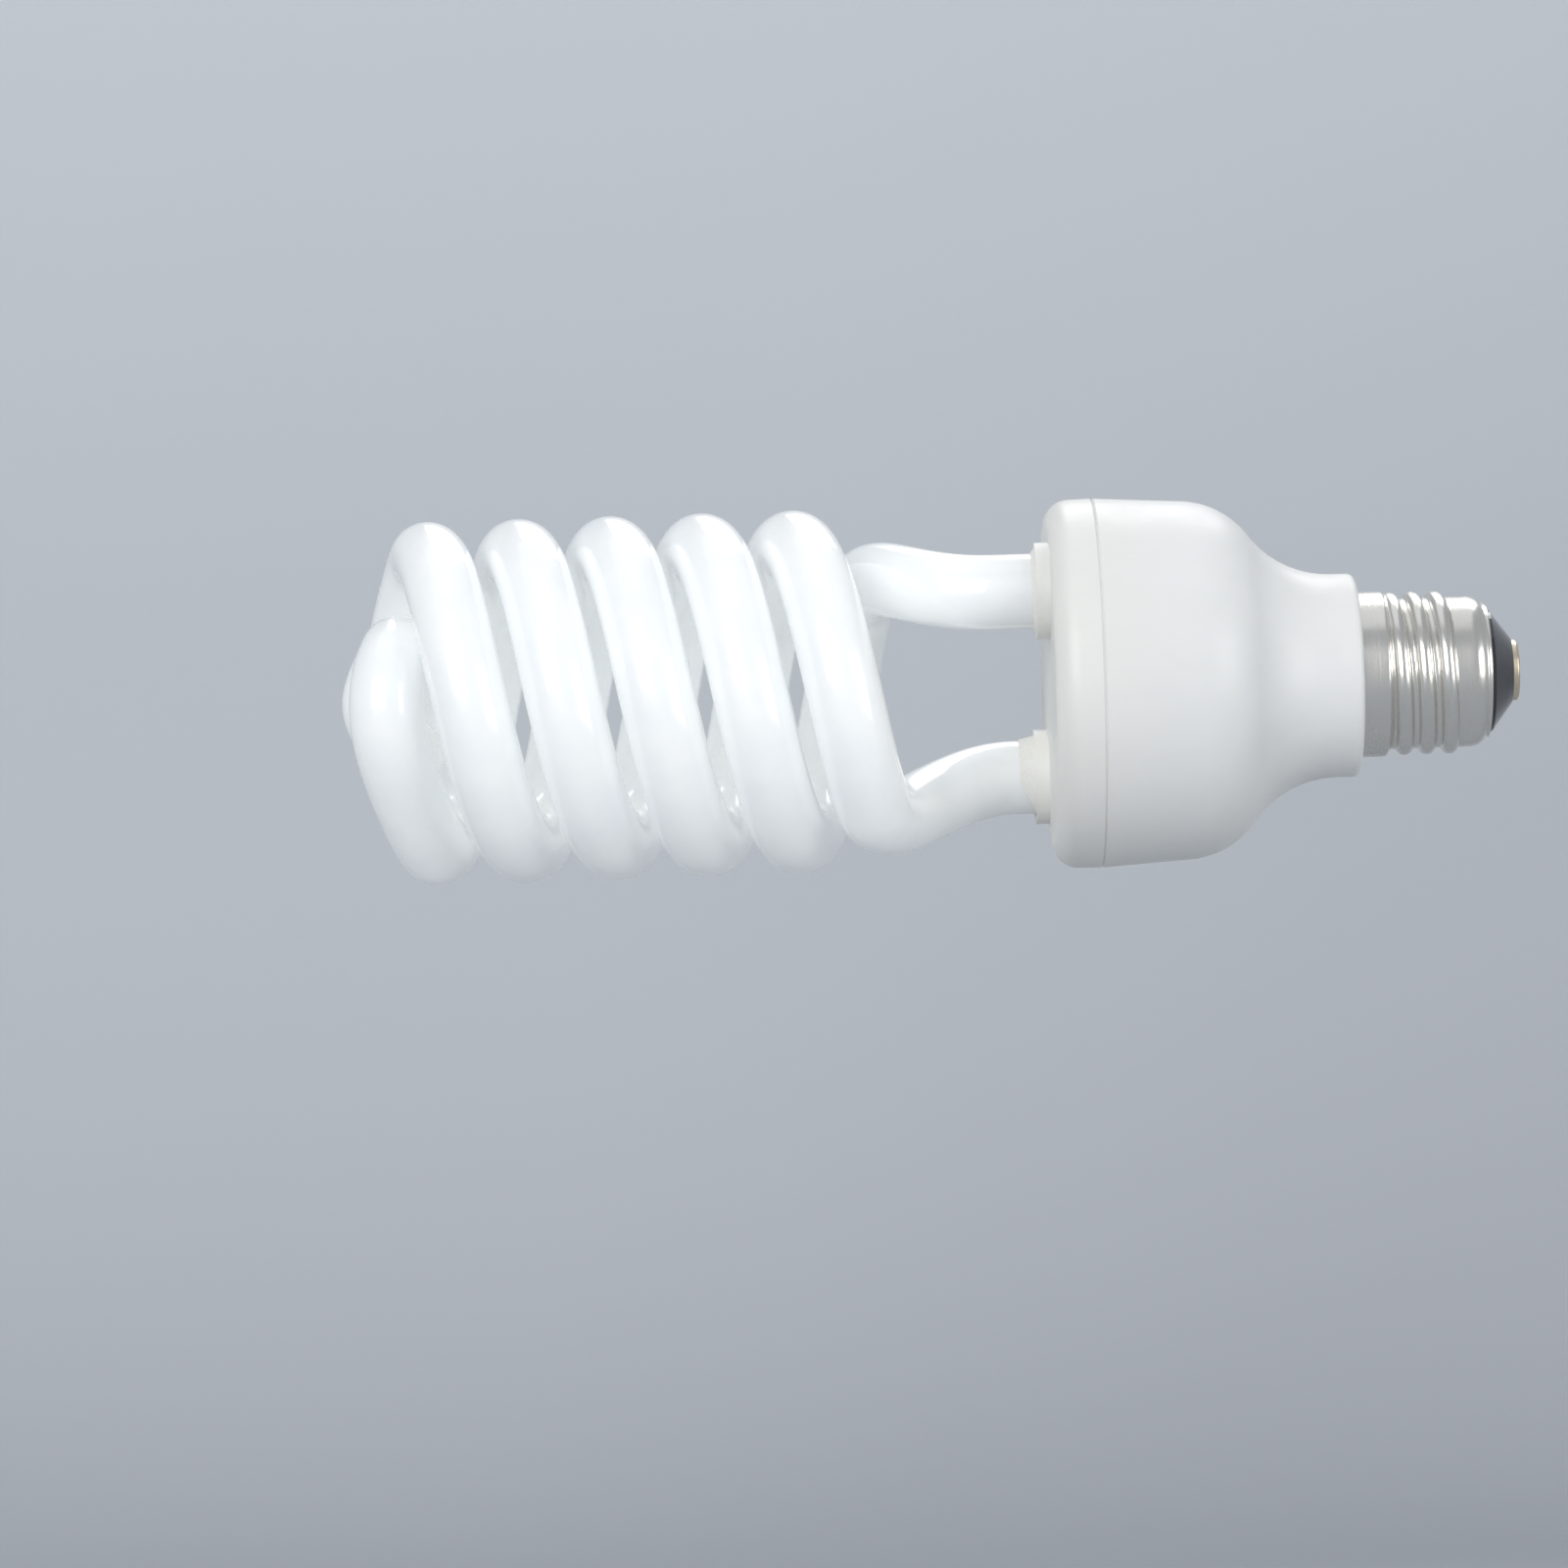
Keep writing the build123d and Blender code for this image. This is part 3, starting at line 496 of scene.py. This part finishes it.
def thread_radius(height, angle):
    """The rolled ridge of the right-handed thread, running out softly at both ends."""
    turns = angle / (2 * math.pi)
    turns += round((height - THREAD_LOW) / THREAD_PITCH - turns)
    off = height - THREAD_LOW - THREAD_PITCH * turns
    run_out = eased(min(turns, THREAD_TURNS - turns) / THREAD_RUN_OUT)
    hump = math.sqrt(max(RIDGE_R * RIDGE_R - off * off, 0.0)) - RIDGE_R
    return CREST_R + hump - (1 - run_out) * 2 * (CREST_R - ROOT_R)


def shell_radius(height, angle):
    """Barrel and thread joined with the soft fillet of rolled sheet."""
    barrel = barrel_radius(height)
    ridge = thread_radius(height, angle)
    share = min(max(0.5 + 0.5 * (ridge - barrel) / ROLL_FILLET, 0.0), 1.0)
    return barrel + (ridge - barrel) * share + ROLL_FILLET * share * (1 - share)


def shell_ring(height, radii, angles):
    """A ring of points round the axis at a height above the end contact, with a radius for each angle."""
    return [Vector((-height, radius * math.sin(angle), radius * math.cos(angle)))
            for radius, angle in zip(radii, angles)]


def screw_shell(material):
    """The cap's rolled sheet, outside and inside, as one closed skin."""
    curve = SHELL_FOOT - SHELL_RIM
    heights = [SHELL_FOOT - curve * math.cos(math.pi / 2 * step / RIM_STEPS) for step in range(RIM_STEPS)]
    rows = round((SHELL_TOP - SHELL_FOOT) / SHELL_ROW)
    heights += [SHELL_FOOT + (SHELL_TOP - SHELL_FOOT) * row / rows for row in range(rows + 1)]
    angles = [2 * math.pi * side / SHELL_SIDES for side in range(SHELL_SIDES)]
    rings = []
    for height in heights:
        rings.append(shell_ring(height, [shell_radius(height, angle) for angle in angles], angles))
    inside = (
        (SHELL_TOP, SKIRT_R),
        (SKIRT_FOOT, SKIRT_R),
        (SKIRT_FOOT - SKIRT_R + ROOT_R, ROOT_R),
        (SHELL_FOOT, ROOT_R),
        (SHELL_RIM + SHELL_WALL, RIM_R + SHELL_WALL),
    )
    rings += [shell_ring(height, [radius - SHELL_WALL] * SHELL_SIDES, angles) for height, radius in inside]
    piece = mesh_of_rings("rolled_shell", rings, material, closed=True)
    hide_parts("screw_shell")
    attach(piece, "root")


def dress(node, material):
    """Gives a CAD node its material."""
    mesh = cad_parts[node].data
    mesh.materials.clear()
    mesh.materials.append(material)


def dress_nodes():
    """The finish of every node of the lamp that keeps its own shape."""
    plastic = white_plastic()
    putty = cement()
    copper = copper_wire()
    tin = metal("tinned_wire", (0.72, 0.72, 0.72), (0.55, 0.54, 0.52), 0.3)
    contact = metal("contact_metal", (0.74, 0.66, 0.52), (0.60, 0.48, 0.32), 0.34)
    ferrite = plain_piece("ferrite", (0.055, 0.055, 0.058), (0.11, 0.11, 0.115), 0.7, 1800.0, 0.35)
    moulding = plain_piece("black_moulding", (0.025, 0.025, 0.027), (0.05, 0.05, 0.052), 0.42, 2200.0)
    dip = plain_piece("dipped_coat", (0.33, 0.09, 0.03), (0.48, 0.16, 0.06), 0.22, 700.0)
    coat = plain_piece("resistor_coat", (0.14, 0.27, 0.30), (0.24, 0.38, 0.41), 0.5, 1600.0)
    sleeve = plain_piece("capacitor_sleeve", (0.03, 0.045, 0.12), (0.06, 0.08, 0.19), 0.25, 500.0)
    laminate = plain_piece("board_laminate", (0.42, 0.29, 0.13), (0.56, 0.41, 0.21), 0.45, 1400.0)
    lead = plain_piece("wire_sleeve", (0.62, 0.60, 0.54), (0.74, 0.72, 0.66), 0.5, 1500.0)
    finishes = {
        "cover": plastic,
        "ballast_housing": plastic,
        "upper_leg_cement": putty,
        "lower_leg_cement": putty,
        "insulator": black_glass(),
        "end_contact": contact,
        "circuit_board": laminate,
        "smoothing_capacitor": sleeve,
        "choke_core": ferrite,
        "choke_bobbin": moulding,
        "choke_winding": copper,
        "driver_toroid": ferrite,
        "toroid_windings": copper,
        "switching_transistors": moulding,
        "film_capacitors": dip,
        "resonant_capacitor": dip,
        "rectifier_diodes": moulding,
        "fusible_resistor": coat,
        "thermistor": coat,
        "filter_inductor": moulding,
        "wrap_pins": tin,
        "filament_leads": tin,
        "live_wire": lead,
        "neutral_wire": lead,
    }
    for node, material in finishes.items():
        dress(node, material)


def one_sided(name, low, high):
    """A stage material with painted light, paler higher up, and painted shade, darker toward +X. It shows
    from the front only and fades into the room far away.
    """
    material, tree, shader, place = new_material(name)
    height = axis_value(tree, place, "Z")
    # Painted light: the stage paler higher up
    rise = remap(tree, height, (FLOOR_Z, WALL_PAINTED_LIGHT_Z))
    # Painted shade: the wall darker toward +X
    side = remap(tree, axis_value(tree, place, "X"), WALL_PAINTED_SHADE_X, (0.0, 0.3))
    tone = blend_colours(tree, maths(tree, "SUBTRACT", rise, side), low, high)
    cloud = remap(tree, noise_field(tree, place, scale=3.0, detail=3.0), (0.3, 0.7), (0.0, 0.06))
    link(tree, blend_colours(tree, cloud, tone, low), shader.inputs["Base Color"])
    set_sockets(shader, roughness=0.9, specular_ior_level=0.2)
    reach = tree.nodes.new("ShaderNodeVectorMath")
    reach.operation = "LENGTH"
    link(tree, place, reach.inputs[0])
    far = remap(tree, reach.outputs["Value"], STAGE_FADE)
    high_up = remap(tree, height, WALL_FADE_Z)
    face = tree.nodes.new("ShaderNodeNewGeometry")
    gone = maths(tree, "MAXIMUM", face.outputs["Backfacing"], maths(tree, "MAXIMUM", far, high_up))
    clear = tree.nodes.new("ShaderNodeBsdfTransparent")
    mix = tree.nodes.new("ShaderNodeMixShader")
    link(tree, gone, mix.inputs["Fac"])
    link(tree, shader.outputs["BSDF"], mix.inputs[1])
    link(tree, clear.outputs["BSDF"], mix.inputs[2])
    link(tree, mix.outputs["Shader"], tree.nodes["Material Output"].inputs["Surface"])
    return material


def stage():
    """A pale floor that curves up into a wall behind the lamp."""
    profile = [(STAGE_FRONT, FLOOR_Z), (WALL_Y - COVE_R, FLOOR_Z)]
    for step in range(1, COVE_STEPS + 1):
        turn = math.pi / 2 * step / COVE_STEPS
        profile.append((WALL_Y - COVE_R + COVE_R * math.sin(turn), FLOOR_Z + COVE_R * (1 - math.cos(turn))))
    profile.append((WALL_Y, WALL_TOP))
    points = []
    for y, z in profile:
        points += [(-STAGE_HALF_WIDTH, y, z), (STAGE_HALF_WIDTH, y, z)]
    faces = [(2 * row, 2 * row + 1, 2 * row + 3, 2 * row + 2) for row in range(len(profile) - 1)]
    mesh = bpy.data.meshes.new("backdrop")
    mesh.from_pydata(points, [], faces)
    mesh.shade_smooth()
    mesh.materials.append(one_sided("backdrop", FLOOR_TONE, WALL_TONE))
    backdrop = bpy.data.objects.new("backdrop", mesh)
    bpy.context.scene.collection.objects.link(backdrop)


def softbox(name, place, size, power):
    """A square area lamp that points at the middle of the object."""
    light = bpy.data.lights.new(name, "AREA")
    light.shape = "SQUARE"
    light.size = size
    light.energy = power
    lamp = bpy.data.objects.new(name, light)
    middle = Vector(((cad_low[0] + cad_high[0]) / 2, 0, 0))
    lamp.location = place
    lamp.rotation_mode = "QUATERNION"
    lamp.rotation_quaternion = (middle - Vector(place)).to_track_quat("-Z", "Y")
    bpy.context.scene.collection.objects.link(lamp)


def lights():
    """Soft studio light: big boxes above, before, beside and behind the lamp, and a pale room."""
    for name, (place, size, power) in SOFTBOXES.items():
        softbox(name, place, size, power)
    world = bpy.data.worlds.new("room")
    bpy.context.scene.world = world
    world.use_nodes = True
    shade = world.node_tree.nodes["Background"]
    set_sockets(shade, color=(*ROOM_TONE, 1.0), strength=ROOM_STRENGTH)


def camera():
    """The photo's camera: level, a little below the lamp's axis, rolled so that the axis rises right."""
    roll = math.radians(CAMERA_ROLL)
    yaw = math.radians(CAMERA_YAW)
    along = Vector((math.cos(yaw) * math.cos(roll), math.cos(yaw) * math.sin(roll), -math.sin(yaw)))
    up = (Vector((0, 1, 0)) - along * along.y).normalized()
    away = up.cross(along)
    to_camera = Matrix((along, away, up)).transposed()
    middle = PHOTO_PIXELS / 2
    tip_right = (TIP_PIXEL[0] - middle) / FOCAL_PIXELS * CAMERA_DISTANCE
    tip_up = (middle - TIP_PIXEL[1]) / FOCAL_PIXELS * CAMERA_DISTANCE
    tip_seen = Vector((tip_right, tip_up, -CAMERA_DISTANCE))
    turn = to_camera.transposed()
    spot = Vector((tube_tip_x, 0, 0)) - turn @ tip_seen
    lens = bpy.data.cameras.new("photo_camera")
    lens.sensor_width = SENSOR_WIDTH
    lens.lens = SENSOR_WIDTH * FOCAL_PIXELS / PHOTO_PIXELS
    eye = bpy.data.objects.new("photo_camera", lens)
    eye.matrix_world = Matrix.Translation(spot) @ turn.to_4x4()
    bpy.context.scene.collection.objects.link(eye)
    bpy.context.scene.camera = eye


camera()
glass_tube(lit_glass())
screw_shell(metal("plated_shell", (0.78, 0.76, 0.72), (0.68, 0.64, 0.57), 0.24))
dress_nodes()
stage()
lights()
bpy.context.scene.view_settings.view_transform = "Standard"
